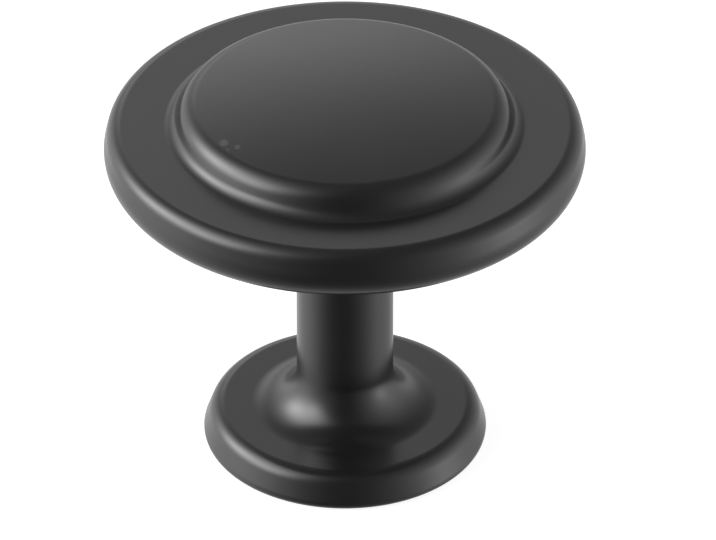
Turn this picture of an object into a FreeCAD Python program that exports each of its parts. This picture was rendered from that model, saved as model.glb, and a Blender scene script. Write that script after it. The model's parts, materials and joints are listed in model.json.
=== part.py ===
import FreeCAD, Part
import math
import os

# A round cabinet knob, cast in one piece: a stepped head on a slim stem with a flared base.
# The origin is the centre of the face that sits on the cabinet front. +Z points out of the
# cabinet, along the axis that the whole knob is turned about. All lengths are millimetres.

# Head
head_diameter = 32.0
projection = 27.0
rim_thickness = 3.77
rim_top_radius = 1.0
rim_draft_angle = 13.0
rim_bottom_radius = 1.95

# Raised disc on the head. Its diameter is where its sloping wall would meet the ledge.
disc_diameter = 22.7
disc_height = 2.2
disc_draft_angle = 21.0
crown_radius = 120.0
shoulder_radius = 1.35
disc_foot_radius = 0.95

# Stem
stem_diameter = 6.5
neck_width = 6.0
neck_height = 3.2
stem_foot_radius = 3.05

# Base
base_diameter = 19.1
base_thickness = 2.47
base_top_radius = 1.1
base_draft_angle = 20.0
base_bottom_radius = 0.55

# Shallow recess in the mounting face, between the seat and the boss round the screw hole
recess_depth = 0.4
recess_draft = 0.25
seat_width = 2.0
boss_diameter = 8.0

# Screw hole for an M4 machine screw: the bore is cut to the thread's full diameter
thread_diameter = 4.0
tap_drill_diameter = 3.3
tapped_depth = 12.0
drilled_depth = 14.5
drill_tip_angle = 118.0
mouth_chamfer = 0.4

# Radii and heights that follow from the sizes above
head_r = head_diameter / 2
disc_r = disc_diameter / 2
stem_r = stem_diameter / 2
base_r = base_diameter / 2
seat_outer_r = base_r - base_bottom_radius
ledge_z = projection - disc_height
underside_z = ledge_z - rim_thickness


def point(r, z):
    """A point of the section, r out from the axis and z above the mounting face."""
    return FreeCAD.Vector(r, 0, z)


def line(start, end):
    return Part.LineSegment(point(*start), point(*end)).toShape()


def arc(centre, radius, first_angle, last_angle):
    """A round stretch of the section. Angles are in radians, from +r towards +Z."""
    angles = (first_angle, (first_angle + last_angle) / 2, last_angle)
    on_arc = [point(centre[0] + radius * math.cos(a), centre[1] + radius * math.sin(a)) for a in angles]
    return Part.Arc(*on_arc).toShape()


def flare(start, end, corner):
    """A quarter of an ellipse from start to end, tangent there to the two sides of their corner."""
    centre = (start[0] + end[0] - corner[0], start[1] + end[1] - corner[1])
    reach_r = abs(start[0] - end[0])
    reach_z = abs(start[1] - end[1])
    across = point(centre[0] + reach_r, centre[1])
    upward = point(centre[0], centre[1] + reach_z)
    major, minor = (across, upward) if reach_r >= reach_z else (upward, across)
    ellipse = Part.Ellipse(major, minor, point(*centre))
    ends = [ellipse.parameter(point(*p)) for p in (start, end)]
    first, last = min(ends), max(ends)
    if last - first > math.pi:
        first, last = last, first + 2 * math.pi
    return Part.ArcOfEllipse(ellipse, first, last).toShape()


def rounded(corners):
    """Straight edges through (r, z, radius) corners, each turned on a tangent arc of its radius."""
    edges = []
    pen = point(*corners[0][:2])
    for before, (r, z, radius), after in zip(corners, corners[1:], corners[2:]):
        corner = point(r, z)
        back = (point(*before[:2]) - corner).normalize()
        ahead = (point(*after[:2]) - corner).normalize()
        half_angle = back.getAngle(ahead) / 2
        trim = radius / math.tan(half_angle)
        inward = (back + ahead).normalize()
        arc_start = corner + back * trim
        arc_middle = corner + inward * (radius / math.sin(half_angle) - radius)
        arc_end = corner + ahead * trim
        edges.append(Part.LineSegment(pen, arc_start).toShape())
        edges.append(Part.Arc(arc_start, arc_middle, arc_end).toShape())
        pen = arc_end
    edges.append(Part.LineSegment(pen, point(*corners[-1][:2])).toShape())
    return edges


def drafted_wall(widest_r, bottom_z, top_z, top_radius, draft_angle, bottom_radius):
    """The upper and lower corner of an outer wall that leans in upwards and is widest on its lower round."""
    draft = math.radians(draft_angle)
    foot_r = widest_r - bottom_radius + bottom_radius * (1 + math.sin(draft)) / math.cos(draft)
    head_of_wall_r = foot_r - (top_z - bottom_z) * math.tan(draft)
    return [(head_of_wall_r, top_z, top_radius), (foot_r, bottom_z, bottom_radius)]


def solid_of(edges):
    """Turns a closed section about the knob's axis."""
    section = Part.Face(Part.Wire(edges))
    return section.revolve(point(0, 0), FreeCAD.Vector(0, 0, 1), 360)


def shoulder():
    """Centre of the round between the dome and the disc's wall, tangent to both."""
    draft = math.radians(disc_draft_angle)
    crown_centre_z = projection - crown_radius
    out_r, out_z = math.cos(draft), math.sin(draft)
    offset = out_r * disc_r + out_z * (ledge_z - crown_centre_z) - shoulder_radius
    climb = math.sqrt((crown_radius - shoulder_radius) ** 2 - offset ** 2)
    return (out_r * offset - out_z * climb, crown_centre_z + out_z * offset + out_r * climb)


def dome_edges():
    """The domed top of the disc, from the axis out, and its shoulder."""
    crown_centre_z = projection - crown_radius
    centre_r, centre_z = shoulder()
    tilt = math.atan2(centre_z - crown_centre_z, centre_r)
    return [
        arc((0, crown_centre_z), crown_radius, math.pi / 2, tilt),
        arc((centre_r, centre_z), shoulder_radius, tilt, math.radians(disc_draft_angle)),
    ]


def rim_edges():
    """Down the disc's wall, over the ledge and the rim, and in to the flat ring under the head."""
    draft = math.radians(disc_draft_angle)
    centre_r, centre_z = shoulder()
    wall_top = (centre_r + shoulder_radius * math.cos(draft), centre_z + shoulder_radius * math.sin(draft), 0)
    rim = drafted_wall(
        head_r, underside_z, ledge_z, rim_top_radius, rim_draft_angle, rim_bottom_radius
    )
    neck_start = (stem_r + neck_width, underside_z, 0)
    return rounded([wall_top, (disc_r, ledge_z, disc_foot_radius), *rim, neck_start])


def neck_edges():
    """The flare that carries the head on the stem."""
    neck_start = (stem_r + neck_width, underside_z)
    neck_end = (stem_r, underside_z - neck_height)
    return [flare(neck_start, neck_end, (stem_r, underside_z))]


def base_edges():
    """Down the stem, out over the base and in to the centre of the mounting face."""
    neck_end = (stem_r, underside_z - neck_height, 0)
    stem_foot = (stem_r, base_thickness, stem_foot_radius)
    base = drafted_wall(base_r, 0, base_thickness, base_top_radius, base_draft_angle, base_bottom_radius)
    return rounded([neck_end, stem_foot, *base, (0, 0, 0)])


def outer_form():
    return solid_of(dome_edges() + rim_edges() + neck_edges() + base_edges() + [line((0, 0), (0, projection))])


def closed(corners):
    """Straight edges from each corner of a section to the next, and back to the first."""
    return [line(a, b) for a, b in zip(corners, corners[1:] + corners[:1])]


def recess():
    """The ring-shaped recess, with drafted walls, that leaves a seat and a boss to touch the door."""
    outer_r = seat_outer_r - seat_width
    inner_r = boss_diameter / 2
    return solid_of(closed([
        (inner_r, 0),
        (outer_r, 0),
        (outer_r - recess_draft, recess_depth),
        (inner_r + recess_draft, recess_depth),
    ]))


def screw_hole():
    """The tapped hole: a chamfered mouth, the threaded stretch and the drilled end beyond it."""
    thread_r = thread_diameter / 2
    drill_r = tap_drill_diameter / 2
    runout = thread_r - drill_r
    tip = drill_r / math.tan(math.radians(drill_tip_angle / 2))
    return solid_of(closed([
        (0, 0),
        (thread_r + mouth_chamfer, 0),
        (thread_r, mouth_chamfer),
        (thread_r, tapped_depth),
        (drill_r, tapped_depth + runout),
        (drill_r, drilled_depth),
        (0, drilled_depth + tip),
    ]))


def knob_body():
    return outer_form().cut(recess()).cut(screw_hole())


os.makedirs("parts", exist_ok=True)
body = knob_body()
body.exportStep("parts/knob_body.step")
print("solids", len(body.Solids), "valid", body.isValid(), "volume mm3", round(body.Volume, 1))
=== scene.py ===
"""Dresses the cabinet knob: its turned body, the screw thread in its base, its satin coat and the stage."""
import json
import math

import bmesh
import bpy
from bpy.props import FloatProperty, FloatVectorProperty, IntProperty, PointerProperty
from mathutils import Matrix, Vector


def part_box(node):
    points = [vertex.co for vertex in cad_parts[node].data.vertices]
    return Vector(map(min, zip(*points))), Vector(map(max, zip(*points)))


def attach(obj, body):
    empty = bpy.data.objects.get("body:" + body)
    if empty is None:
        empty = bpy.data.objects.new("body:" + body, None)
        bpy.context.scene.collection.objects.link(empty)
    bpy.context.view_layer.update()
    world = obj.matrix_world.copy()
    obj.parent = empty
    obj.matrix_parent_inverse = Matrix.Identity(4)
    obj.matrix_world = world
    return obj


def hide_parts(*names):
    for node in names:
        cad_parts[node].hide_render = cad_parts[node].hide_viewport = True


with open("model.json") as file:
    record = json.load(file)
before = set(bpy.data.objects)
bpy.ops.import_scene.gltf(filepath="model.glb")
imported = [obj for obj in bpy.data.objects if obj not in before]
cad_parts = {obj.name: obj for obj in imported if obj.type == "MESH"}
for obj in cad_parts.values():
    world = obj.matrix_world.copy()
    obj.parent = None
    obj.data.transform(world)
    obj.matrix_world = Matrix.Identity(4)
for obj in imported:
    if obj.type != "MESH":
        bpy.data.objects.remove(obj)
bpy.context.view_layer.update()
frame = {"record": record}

bl_info = {
    "name": "Cabinet knob",
    "version": (1, 0, 0),
    "blender": (4, 5, 0),
    "location": "View3D > Sidebar > Cabinet knob",
    "description": "Models and finishes a round cabinet knob on a studio stage",
    "category": "Object",
}

MM = 0.001
NODE = "knob_body"
NODE_LOW, NODE_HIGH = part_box(NODE)
SCREW_HOLE = next(m for m in frame["record"]["mounts"] if m["name"] == "screw_hole")


def length(name, millimetres, description):
    """A length property, given in millimetres and kept in metres."""
    return FloatProperty(
        name=name, description=description, default=millimetres * MM, min=0.0, unit="LENGTH", precision=6
    )


def angle(name, degrees, description):
    """An angle property, given in degrees and kept in radians."""
    return FloatProperty(name=name, description=description, default=math.radians(degrees), subtype="ANGLE")


# Sizes and finishes that a user would change

class KnobSizes(bpy.types.PropertyGroup):
    """The section that the knob is turned from."""
    head_diameter: length("Head diameter", 2 * NODE_HIGH[0] / MM, "Across the rim at its widest")
    projection: length("Projection", NODE_HIGH[2] / MM, "From the mounting face to the top of the crown")
    rim_thickness: length("Rim thickness", 3.77, "From the ledge down to the flat under the head")
    rim_top_radius: length("Rim top radius", 1.0, "Round at the rim's upper edge")
    rim_draft: angle("Rim draft", 13.0, "How far the rim's wall leans in from upright")
    rim_bottom_radius: length("Rim bottom radius", 1.95, "Round at the rim's lower edge")
    disc_diameter: length("Disc diameter", 22.7, "Across the raised disc, where its wall meets the ledge")
    disc_height: length("Disc height", 2.2, "From the ledge to the top of the crown")
    disc_draft: angle("Disc draft", 21.0, "How far the disc's wall leans in from upright")
    crown_radius: length("Crown radius", 120.0, "Radius of the disc's shallow dome")
    shoulder_radius: length("Shoulder radius", 1.35, "Round between the dome and the disc's wall")
    disc_foot_radius: length("Disc foot radius", 0.95, "Fillet between the disc's wall and the ledge")
    stem_diameter: length("Stem diameter", 6.5, "Across the straight stem")
    neck_width: length("Neck width", 6.0, "How far the neck flares out under the head")
    neck_height: length("Neck height", 3.2, "How far down the stem the flare reaches")
    stem_foot_radius: length("Stem foot radius", 3.05, "Fillet between the stem and the base")
    base_diameter: length("Base diameter", 19.1, "Across the base at its widest")
    base_thickness: length("Base thickness", 2.47, "From the mounting face to the top of the base")
    base_top_radius: length("Base top radius", 1.1, "Round at the base's upper edge")
    base_draft: angle("Base draft", 20.0, "How far the base's wall leans in from upright")
    base_bottom_radius: length("Base bottom radius", 0.55, "Round at the base's lower edge")
    seat_width: length("Seat width", 2.0, "Width of the flat ring that touches the door")
    recess_depth: length("Recess depth", 0.4, "Depth of the hollow between the seat and the boss")
    recess_draft: length("Recess draft", 0.25, "How far the hollow's walls lean in over its depth")
    boss_diameter: length("Boss diameter", 8.0, "Across the boss round the screw hole")
    mouth_chamfer: length("Mouth chamfer", 0.4, "Chamfer at the mouth of the screw hole")
    drill_diameter: length("Drill diameter", 3.3, "Across the plain end of the screw hole")
    drilled_depth: length("Drilled depth", 14.5, "From the mounting face to the drill point's shoulder")
    edge_break: length("Edge break", 0.08, "Width of the soft edges that the coat leaves under the base")
    lathe_steps: IntProperty(
        name="Lathe steps", description="Flats round the whole knob", default=224, min=16
    )


class ThreadSizes(bpy.types.PropertyGroup):
    """The thread in the screw hole. Its ridge stands in from the bore's wall."""
    diameter: length("Diameter", 2 * SCREW_HOLE["dims"]["r_mm"], "Full diameter of the thread")
    pitch: length("Pitch", 0.7, "Distance from one turn to the next")
    sunk: length("Sunk", 0.02, "How deep the ridge's root sits in the wall")
    steps: IntProperty(name="Steps", description="Flats in each turn", default=48, min=12)


class CoatFinish(bpy.types.PropertyGroup):
    """The baked satin coat and the bare metal in the screw hole."""
    black: FloatVectorProperty(
        name="Black", description="Colour of the coat", subtype="COLOR", default=(0.0166, 0.0166, 0.0166)
    )
    dust: FloatVectorProperty(
        name="Dust", description="Colour of the specks caught in the coat", subtype="COLOR",
        default=(0.115, 0.115, 0.115)
    )
    zinc: FloatVectorProperty(
        name="Zinc", description="Colour of the bare casting in the screw hole", subtype="COLOR",
        default=(0.55, 0.56, 0.58)
    )
    roughness: FloatProperty(
        name="Roughness", description="Roughness of the coat", default=0.25, min=0.0, max=1.0,
        subtype="FACTOR"
    )
    ior: FloatProperty(
        name="Refractive index", description="Sets how much light the coat's surface mirrors",
        default=2.2, min=1.0
    )
    grain: length("Grain", 0.22, "Size of the coat's fine grain")
    grain_height: length("Grain height", 0.0008, "Height of the coat's fine grain")


class StudioSetup(bpy.types.PropertyGroup):
    """The camera and the lights round the knob."""
    distance: FloatProperty(
        name="Distance", description="From the camera to the knob", default=0.6, min=0.1, unit="LENGTH"
    )
    elevation: FloatProperty(
        name="Elevation", description="Angle of the camera above the floor", default=math.radians(34.1),
        subtype="ANGLE"
    )
    lens: FloatProperty(
        name="Lens", description="Focal length, millimetres on a 36 mm sensor", default=449.9, min=1.0
    )
    target_height: length("Target height", 12.0, "Height of the point on the axis that the camera looks past")
    aim_right: length("Aim right", 0.874, "How far right of the axis the middle of the picture lies")
    aim_up: length("Aim up", 0.895, "How far above the target the middle of the picture lies")
    room_strength: FloatProperty(
        name="Room strength", description="Scales all the soft lights of the room", default=1.0, min=0.0
    )
    floor_glow: FloatProperty(
        name="Floor glow", description="Light of the white floor's own, which washes out the shadow",
        default=0.9, min=0.0
    )


# Building with Blender's own tools

def begin(name, adder, **where):
    """Adds a primitive with nothing else selected, names it and opens it for editing."""
    if bpy.context.object and bpy.context.object.mode != "OBJECT":
        bpy.ops.object.mode_set(mode="OBJECT")
    bpy.ops.object.select_all(action="DESELECT")
    adder(**where)
    piece = bpy.context.object
    piece.name = piece.data.name = name
    bpy.ops.object.mode_set(mode="EDIT")
    return piece


def select(piece, kind, wanted):
    """Selects the vertices, edges or faces that a test wants, and nothing else."""
    bpy.ops.mesh.select_mode(type=kind)
    bpy.ops.mesh.select_all(action="DESELECT")
    shape = bmesh.from_edit_mesh(piece.data)
    shape.normal_update()
    parts = {"VERT": shape.verts, "EDGE": shape.edges, "FACE": shape.faces}[kind]
    for part in [p for p in parts if wanted(p)]:
        part.select_set(True)
    shape.select_flush_mode()
    bmesh.update_edit_mesh(piece.data)


def draw_chain(piece, outline):
    """Cuts a plane down to one corner, puts it on the outline's first point and draws the rest from it."""
    corner = max((v.co.copy() for v in piece.data.vertices), key=lambda co: co.x + co.y)
    select(piece, "VERT", lambda v: (v.co - corner).length > 1e-7)
    bpy.ops.mesh.delete(type="VERT")
    select(piece, "VERT", lambda v: True)
    pen = corner
    for r, z in outline:
        target = Vector((r, 0.0, z))
        step = {"value": target - pen}
        if pen is corner:
            bpy.ops.transform.translate(**step)
        else:
            bpy.ops.mesh.extrude_region_move(TRANSFORM_OT_translate=step)
        pen = target


def finish_piece(piece, smooth_angle):
    """Closes the edit, smooths the shading up to an angle and leaves the object at the origin."""
    bpy.ops.object.mode_set(mode="OBJECT")
    bpy.ops.object.transform_apply(location=True, rotation=True, scale=True)
    bpy.ops.object.shade_smooth_by_angle(angle=math.radians(smooth_angle))


# The knob's section

DOME_STEPS = 20
SHOULDER_STEPS = 12
FLARE_STEPS = 24
ROUND_STEP = math.radians(3)
DRILL_POINT_ANGLE = math.radians(118)
SHARP_ANGLE = math.radians(40)
MERGE_DISTANCE = 0.0005 * MM


def arc(centre, radii, first, last, steps):
    """Points on a round stretch. radii are across and up, angles are radians from +X towards +Z."""
    angles = [first + (last - first) * i / steps for i in range(steps + 1)]
    return [(centre[0] + radii[0] * math.cos(a), centre[1] + radii[1] * math.sin(a)) for a in angles]


def rounded(corners):
    """Points of straight runs through (r, z, radius) corners, each turned on a tangent arc of its radius."""
    points = [corners[0][:2]]
    for before, (r, z, radius), after in zip(corners, corners[1:], corners[2:]):
        corner = Vector((r, z))
        back = (Vector(before[:2]) - corner).normalized()
        ahead = (Vector(after[:2]) - corner).normalized()
        half_angle = back.angle(ahead) / 2
        centre = corner + (back + ahead).normalized() * (radius / math.sin(half_angle))
        spoke = corner + back * (radius / math.tan(half_angle)) - centre
        turn = -spoke.angle_signed(corner + ahead * (radius / math.tan(half_angle)) - centre)
        first = math.atan2(spoke.y, spoke.x)
        steps = max(8, round(abs(turn) / ROUND_STEP))
        points += arc(centre, (radius, radius), first, first + turn, steps)
    return points + [corners[-1][:2]]


def drafted_wall(widest_r, bottom_z, top_z, top_radius, draft, bottom_radius):
    """The two corners of an outer wall that leans in upwards and is widest on its lower round."""
    foot_r = widest_r - bottom_radius + bottom_radius * (1 + math.sin(draft)) / math.cos(draft)
    head_of_wall_r = foot_r - (top_z - bottom_z) * math.tan(draft)
    return [(head_of_wall_r, top_z, top_radius), (foot_r, bottom_z, bottom_radius)]


def underside_height(size):
    return size.projection - size.disc_height - size.rim_thickness


def seat_inner_radius(size):
    return size.base_diameter / 2 - size.base_bottom_radius - size.seat_width


def head_outline(size):
    """The dome from the axis out, the disc's wall, the ledge, the rim and the flat under the head."""
    disc_r = size.disc_diameter / 2
    ledge_z = size.projection - size.disc_height
    underside_z = underside_height(size)
    crown_z = size.projection - size.crown_radius
    out_r, out_z = math.cos(size.disc_draft), math.sin(size.disc_draft)
    offset = out_r * disc_r + out_z * (ledge_z - crown_z) - size.shoulder_radius
    climb = math.sqrt((size.crown_radius - size.shoulder_radius) ** 2 - offset ** 2)
    centre = (out_r * offset - out_z * climb, crown_z + out_z * offset + out_r * climb)
    tilt = math.atan2(centre[1] - crown_z, centre[0])
    dome = arc((0.0, crown_z), (size.crown_radius,) * 2, math.pi / 2, tilt, DOME_STEPS)
    shoulder = arc(centre, (size.shoulder_radius,) * 2, tilt, size.disc_draft, SHOULDER_STEPS)
    rim = drafted_wall(
        size.head_diameter / 2, underside_z, ledge_z, size.rim_top_radius, size.rim_draft,
        size.rim_bottom_radius
    )
    neck_start = (size.stem_diameter / 2 + size.neck_width, underside_z, 0.0)
    wall = rounded([(*shoulder[-1], 0.0), (disc_r, ledge_z, size.disc_foot_radius), *rim, neck_start])
    return dome + shoulder[1:] + wall[1:]


def stem_outline(size):
    """The flare under the head, the stem, its foot and the base, in to the edge of the seat."""
    stem_r = size.stem_diameter / 2
    underside_z = underside_height(size)
    flare_centre = (stem_r + size.neck_width, underside_z - size.neck_height)
    flare = arc(flare_centre, (size.neck_width, size.neck_height), math.pi / 2, math.pi, FLARE_STEPS)
    base = drafted_wall(
        size.base_diameter / 2, 0.0, size.base_thickness, size.base_top_radius, size.base_draft,
        size.base_bottom_radius
    )
    foot = (stem_r, size.base_thickness, size.stem_foot_radius)
    return flare[1:] + rounded([(*flare[-1], 0.0), foot, *base, (seat_inner_radius(size), 0.0, 0.0)])[1:]


def recess_outline(size):
    """From the seat through the recess to the boss."""
    boss_r = size.boss_diameter / 2
    return [
        (seat_inner_radius(size) - size.recess_draft, size.recess_depth),
        (boss_r + size.recess_draft, size.recess_depth),
        (boss_r, 0.0),
    ]


def hole_outline(size, thread):
    """Into the screw hole, along its wall and out to the drill point on the axis."""
    thread_r = thread.diameter / 2
    drill_r = size.drill_diameter / 2
    tapped_depth = size.mouth_chamfer + SCREW_HOLE["dims"]["length_mm"] * MM
    return [
        (thread_r + size.mouth_chamfer, 0.0),
        (thread_r, size.mouth_chamfer),
        (thread_r, tapped_depth),
        (drill_r, tapped_depth + thread_r - drill_r),
        (drill_r, size.drilled_depth),
        (0.0, size.drilled_depth + drill_r / math.tan(DRILL_POINT_ANGLE / 2)),
    ]


def with_support(outline, long_run=0.3 * MM, near=0.04 * MM):
    """Adds a point close to each end of a long straight run, so that smooth shading keeps it flat."""
    points = [outline[0]]
    for (r0, z0), (r1, z1) in zip(outline, outline[1:]):
        run = math.hypot(r1 - r0, z1 - z0)
        if run > long_run:
            for share in (near / run, 1 - near / run):
                points.append((r0 + (r1 - r0) * share, z0 + (z1 - z0) * share))
        points.append((r1, z1))
    return points


# Shader maths

class Wire:
    """A shader socket that numbers and other wires can be added to, taken from or multiplied with."""

    def __init__(self, shader, socket):
        self.shader = shader
        self.socket = socket

    def math(self, operation, *values):
        return self.shader.node("ShaderNodeMath", {"operation": operation}, dict(enumerate(values)))

    def __add__(self, other):
        return self.math("ADD", self, other)

    def __sub__(self, other):
        return self.math("SUBTRACT", self, other)

    def __rsub__(self, other):
        return self.math("SUBTRACT", other, self)

    def __mul__(self, other):
        return self.math("MULTIPLY", self, other)

    __radd__ = __add__
    __rmul__ = __mul__


class Shader:
    """A node tree, with one method that adds a node, sets it up and gives its output as a wire."""

    def __init__(self, tree):
        self.tree = tree
        tree.nodes.clear()

    def node(self, kind, settings=None, inputs=None, output=0):
        node = self.tree.nodes.new(kind)
        for name, value in (settings or {}).items():
            setattr(node, name, value)
        for key, value in (inputs or {}).items():
            if isinstance(value, Wire):
                self.tree.links.new(value.socket, node.inputs[key])
            else:
                node.inputs[key].default_value = value
        return Wire(self, node.outputs[output]) if node.outputs else None

    def smooth(self, value, low, high):
        """0 below low, 1 above high and a soft step between them."""
        return self.node(
            "ShaderNodeMapRange", {"interpolation_type": "SMOOTHSTEP"},
            {"Value": value, "From Min": low, "From Max": high}
        )

    def noise(self, where, size, detail=2.0):
        """Noise from 0 to 1 with features of a given size in metres."""
        return self.node("ShaderNodeTexNoise", None, {"Vector": where, "Scale": 1 / size, "Detail": detail})

    def blend(self, factor, first, second):
        """A colour between two others."""
        return self.node("ShaderNodeMix", {"data_type": "RGBA"}, {0: factor, 6: first, 7: second}, 2)


# The specks of dust caught in the coat, as x, y, width, depth and strength on the top of the disc
DUST_SPECKS = [
    (-7.92 * MM, -5.15 * MM, 0.42 * MM, 0.54 * MM, 1.0),
    (-7.03 * MM, -5.68 * MM, 0.29 * MM, 0.38 * MM, 0.7),
    (-7.66 * MM, -5.95 * MM, 0.22 * MM, 0.32 * MM, 0.3),
]
DUST_CORE = 0.2
DUST_FLOOR = 26.0 * MM
DUST_FLOOR_BLUR = 0.1 * MM
DUST_HEIGHT = 0.004 * MM
DUST_ROUGHNESS = 0.1

# How far inside and outside the rim of the hole's chamfer the bare metal starts to show
BARE_INSIDE = 0.08 * MM
BARE_OUTSIDE = 0.02 * MM
BARE_END_BLUR = 1 * MM

# The coat's faint cloudiness: its size, how much paler it gets and how far its roughness spreads
CLOUD_SIZE = 4 * MM
CLOUD_PALENESS = 1.35
CLOUD_ROUGHNESS = 0.04


def dust_mask(shader, where, height):
    """Up to 1 on the specks of dust and 0 elsewhere."""
    specks = 0.0
    for x, y, width, depth, strength in DUST_SPECKS:
        offset = shader.node("ShaderNodeVectorMath", {"operation": "SUBTRACT"}, {0: where, 1: (x, y, 0.0)})
        scaled = shader.node(
            "ShaderNodeVectorMath", {"operation": "MULTIPLY"}, {0: offset, 1: (1 / width, 1 / depth, 0.0)}
        )
        reach = shader.node("ShaderNodeVectorMath", {"operation": "LENGTH"}, {0: scaled}, "Value")
        specks = specks + (1 - shader.smooth(reach, DUST_CORE, 1.0)) * strength
    return specks * shader.smooth(height, DUST_FLOOR, DUST_FLOOR + DUST_FLOOR_BLUR)


def bore_mask(shader, where, height, size, thread):
    """1 inside the screw hole, where the metal is bare, and 0 elsewhere."""
    flat = shader.node("ShaderNodeVectorMath", {"operation": "MULTIPLY"}, {0: where, 1: (1.0, 1.0, 0.0)})
    radius = shader.node("ShaderNodeVectorMath", {"operation": "LENGTH"}, {0: flat}, "Value")
    mouth_r = thread.diameter / 2 + size.mouth_chamfer
    below_r = 1 - shader.smooth(radius, mouth_r - BARE_INSIDE, mouth_r + BARE_OUTSIDE)
    hole_top = size.drilled_depth + size.drill_diameter
    return below_r * (1 - shader.smooth(height, hole_top, hole_top + BARE_END_BLUR))


def coat_material(finish, size, thread):
    """Satin black: fine grain, faint cloudiness, a few specks of dust and bare zinc in the screw hole."""
    material = bpy.data.materials.new("satin_black_coat")
    material.use_nodes = True
    shader = Shader(material.node_tree)
    where = shader.node("ShaderNodeTexCoord", output="Object")
    height = shader.node("ShaderNodeSeparateXYZ", None, {0: where}, "Z")
    cloud = shader.noise(where, CLOUD_SIZE)
    grain = shader.noise(where, finish.grain, 3.0)
    dust = dust_mask(shader, where, height)
    bare = bore_mask(shader, where, height, size, thread)
    black = (*finish.black, 1.0)
    pale_black = (*(CLOUD_PALENESS * c for c in finish.black), 1.0)
    coat = shader.blend(cloud, black, pale_black)
    dusty = shader.blend(dust, coat, (*finish.dust, 1.0))
    colour = shader.blend(bare, dusty, (*finish.zinc, 1.0))
    roughness = finish.roughness + (cloud - 0.5) * CLOUD_ROUGHNESS + dust * DUST_ROUGHNESS
    bump_height = grain * finish.grain_height + dust * DUST_HEIGHT
    normal = shader.node("ShaderNodeBump", None, {"Strength": 1.0, "Distance": 1.0, "Height": bump_height})
    surface = shader.node(
        "ShaderNodeBsdfPrincipled", None,
        {"Base Color": colour, "Metallic": bare, "Roughness": roughness, "IOR": finish.ior,
         "Normal": normal}
    )
    shader.node("ShaderNodeOutputMaterial", None, {"Surface": surface})
    return material


# The stage

FLOOR_RADIUS = 3.0
FLOOR_DROP = 0.01 * MM


def floor_material(studio):
    """Plain white, with enough light of its own to stay white under the knob."""
    material = bpy.data.materials.new("white_floor")
    material.use_nodes = True
    shader = Shader(material.node_tree)
    surface = shader.node(
        "ShaderNodeBsdfPrincipled", None,
        {"Base Color": (0.6, 0.6, 0.6, 1.0), "Roughness": 0.9, "Emission Color": (1.0, 1.0, 1.0, 1.0),
         "Emission Strength": studio.floor_glow}
    )
    shader.node("ShaderNodeOutputMaterial", None, {"Surface": surface})
    return material


def add_floor(studio):
    """A white floor that the camera sees and the knob doesn't mirror, a hair below the seat."""
    piece = begin(
        "floor", bpy.ops.mesh.primitive_circle_add, vertices=96, radius=FLOOR_RADIUS, fill_type="NGON",
        location=(0.0, 0.0, -FLOOR_DROP)
    )
    finish_piece(piece, 30)
    piece.data.materials.append(floor_material(studio))
    piece.visible_diffuse = False
    piece.visible_glossy = False
    piece.visible_shadow = False


def direction(azimuth, elevation):
    """A unit vector. Azimuth 0 is behind the knob as the camera sees it, 90 to its right."""
    a, e = math.radians(azimuth), math.radians(elevation)
    return Vector((math.sin(a) * math.cos(e), math.cos(a) * math.cos(e), math.sin(e)))


# The soft lights of the room, as azimuth and elevation in degrees, how fast each falls off and its level
ROOM_LIGHTS = [
    (-135, 0, 8, 0.19),
    (-124, 44, 30, 0.50),
    (-116, 26, 30, 1.05),
    (-90, -25, 8, 0.47),
    (-90, 30, 8, 2.60),
    (-74, 26, 30, 1.80),
    (-45, 0, 8, 0.54),
    (-15, -40, 3, 0.99),
    (-12, 23, 100, 0.74),
    (-12, 32, 100, 0.23),
    (0, 23, 100, 0.72),
    (15, -10, 8, 0.37),
    (90, 0, 3, 0.81),
    (100, -10, 30, 0.56),
]


def add_surroundings(studio):
    """A room with soft lights that the knob mirrors, and white where the camera looks past the floor."""
    world = bpy.data.worlds.new("surroundings")
    world.use_nodes = True
    bpy.context.scene.world = world
    shader = Shader(world.node_tree)
    where = shader.node("ShaderNodeTexCoord", output="Generated")
    level = 0.0
    for azimuth, elevation, falloff, brightness in ROOM_LIGHTS:
        towards = tuple(direction(azimuth, elevation))
        cosine = shader.node(
            "ShaderNodeVectorMath", {"operation": "DOT_PRODUCT"}, {0: where, 1: towards}, "Value"
        )
        glow = shader.node("ShaderNodeMath", {"operation": "EXPONENT"}, {0: (cosine - 1) * falloff})
        level = level + glow * (brightness * studio.room_strength)
    camera_ray = shader.node("ShaderNodeLightPath", output="Is Camera Ray")
    background = shader.node("ShaderNodeBackground", None, {"Strength": level + camera_ray})
    shader.node("ShaderNodeOutputWorld", None, {"Surface": background})


def add_camera(studio):
    camera = bpy.data.cameras.new("camera")
    camera.sensor_width = 36.0
    camera.lens = studio.lens
    camera.clip_start = 0.05
    camera.clip_end = 20.0
    eye = bpy.data.objects.new("camera", camera)
    bpy.context.scene.collection.objects.link(eye)
    back = direction(180, math.degrees(studio.elevation))
    turn = back.to_track_quat("Z", "Y")
    aim = turn @ Vector((studio.aim_right, studio.aim_up, 0.0))
    eye.location = Vector((0.0, 0.0, studio.target_height)) + aim + back * studio.distance
    eye.rotation_euler = turn.to_euler()
    bpy.context.scene.camera = eye


# Operators

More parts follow.
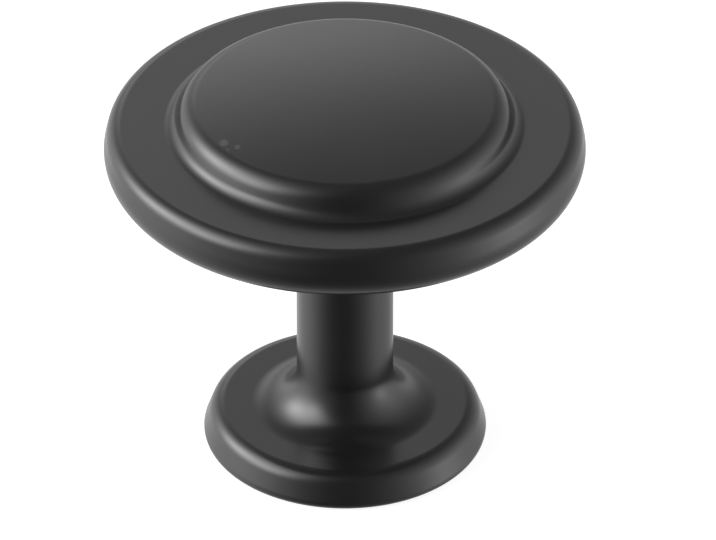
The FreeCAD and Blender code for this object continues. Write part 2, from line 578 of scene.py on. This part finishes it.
class KNOB_OT_turn_body(bpy.types.Operator):
    """Spins the knob's section round its axis and gives it the satin coat"""
    bl_idname = "knob.turn_body"
    bl_label = "Turn the body"

    def execute(self, context):
        size = context.scene.knob_sizes
        thread = context.scene.knob_thread
        outside = head_outline(size) + stem_outline(size)
        outline = outside + recess_outline(size) + hole_outline(size, thread)
        piece = begin("knob_turned", bpy.ops.mesh.primitive_plane_add, size=size.head_diameter)
        draw_chain(piece, with_support(outline))
        bpy.ops.object.mode_set(mode="OBJECT")
        lathe = piece.modifiers.new("lathe", "SCREW")
        lathe.axis = "Z"
        lathe.angle = math.tau
        lathe.screw_offset = 0.0
        lathe.steps = lathe.render_steps = size.lathe_steps
        lathe.use_merge_vertices = True
        lathe.merge_threshold = MERGE_DISTANCE
        bpy.ops.object.modifier_apply(modifier=lathe.name)
        bpy.ops.object.mode_set(mode="EDIT")
        bpy.ops.mesh.select_all(action="SELECT")
        bpy.ops.mesh.remove_doubles(threshold=MERGE_DISTANCE)
        bpy.ops.mesh.normals_make_consistent(inside=False)
        low = size.base_thickness / 2
        select(piece, "EDGE", lambda e: e.calc_face_angle(0.0) > SHARP_ANGLE and e.verts[0].co.z < low)
        bpy.ops.mesh.bevel(offset=size.edge_break, segments=3, affect="EDGES")
        finish_piece(piece, 30)
        piece.data.materials.append(coat_material(context.scene.knob_finish, size, thread))
        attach(piece, "root")
        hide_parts(NODE)
        return {"FINISHED"}


class KNOB_OT_cut_thread(bpy.types.Operator):
    """Winds the thread's ridge up the wall of the screw hole"""
    bl_idname = "knob.cut_thread"
    bl_label = "Cut the thread"

    def execute(self, context):
        thread = context.scene.knob_thread
        size = context.scene.knob_sizes
        start_z = size.mouth_chamfer
        end_z = start_z + SCREW_HOLE["dims"]["length_mm"] * MM
        wall_r = thread.diameter / 2 + thread.sunk
        sharp_height = thread.pitch * math.sqrt(3) / 2
        crest_r = thread.diameter / 2 - 5 / 8 * sharp_height
        root_half = 7 / 16 * thread.pitch
        crest_half = thread.pitch / 8
        first_z = start_z - thread.pitch
        section = [
            (wall_r, first_z - root_half),
            (crest_r, first_z - crest_half),
            (crest_r, first_z + crest_half),
            (wall_r, first_z + root_half),
        ]
        piece = begin("screw_thread", bpy.ops.mesh.primitive_plane_add, size=thread.diameter)
        draw_chain(piece, section)
        select(piece, "VERT", lambda v: True)
        bpy.ops.mesh.edge_face_add()
        bpy.ops.object.mode_set(mode="OBJECT")
        winding = piece.modifiers.new("winding", "SCREW")
        winding.axis = "Z"
        winding.angle = math.tau
        winding.screw_offset = thread.pitch
        winding.iterations = math.ceil((end_z - start_z) / thread.pitch) + 2
        winding.steps = winding.render_steps = thread.steps
        winding.use_merge_vertices = False
        bpy.ops.object.modifier_apply(modifier=winding.name)
        bpy.ops.object.mode_set(mode="EDIT")
        for height, upward in ((start_z, -1.0), (end_z, 1.0)):
            bpy.ops.mesh.select_all(action="SELECT")
            bpy.ops.mesh.bisect(
                plane_co=(0.0, 0.0, height), plane_no=(0.0, 0.0, upward), use_fill=True, clear_outer=True
            )
        bpy.ops.mesh.select_all(action="SELECT")
        bpy.ops.mesh.normals_make_consistent(inside=False)
        finish_piece(piece, 30)
        piece.data.materials.append(bpy.data.materials["satin_black_coat"])
        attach(piece, "root")
        return {"FINISHED"}


class KNOB_OT_set_stage(bpy.types.Operator):
    """Lays the floor, lights the room and sets the camera"""
    bl_idname = "knob.set_stage"
    bl_label = "Set the stage"

    def execute(self, context):
        studio = context.scene.knob_studio
        add_floor(studio)
        add_surroundings(studio)
        add_camera(studio)
        context.scene.view_settings.view_transform = "Standard"
        return {"FINISHED"}


class KNOB_PT_panel(bpy.types.Panel):
    """Lists the knob's operators and their settings"""
    bl_label = "Cabinet knob"
    bl_idname = "KNOB_PT_panel"
    bl_space_type = "VIEW_3D"
    bl_region_type = "UI"
    bl_category = "Cabinet knob"

    def draw(self, context):
        for operator in OPERATORS:
            self.layout.operator(operator.bl_idname)
        for name in GROUPS:
            box = self.layout.box()
            group = getattr(context.scene, name)
            for key in group.__annotations__:
                box.prop(group, key)


GROUPS = {
    "knob_sizes": KnobSizes,
    "knob_thread": ThreadSizes,
    "knob_finish": CoatFinish,
    "knob_studio": StudioSetup,
}
OPERATORS = (KNOB_OT_turn_body, KNOB_OT_cut_thread, KNOB_OT_set_stage)


def register():
    for cls in (*GROUPS.values(), *OPERATORS, KNOB_PT_panel):
        bpy.utils.register_class(cls)
    for name, group in GROUPS.items():
        setattr(bpy.types.Scene, name, PointerProperty(type=group))


def unregister():
    for name in GROUPS:
        delattr(bpy.types.Scene, name)
    for cls in (KNOB_PT_panel, *reversed(OPERATORS), *reversed(GROUPS.values())):
        bpy.utils.unregister_class(cls)


def main():
    register()
    bpy.ops.knob.turn_body()
    bpy.ops.knob.cut_thread()
    bpy.ops.knob.set_stage()


if __name__ == "__main__":
    main()
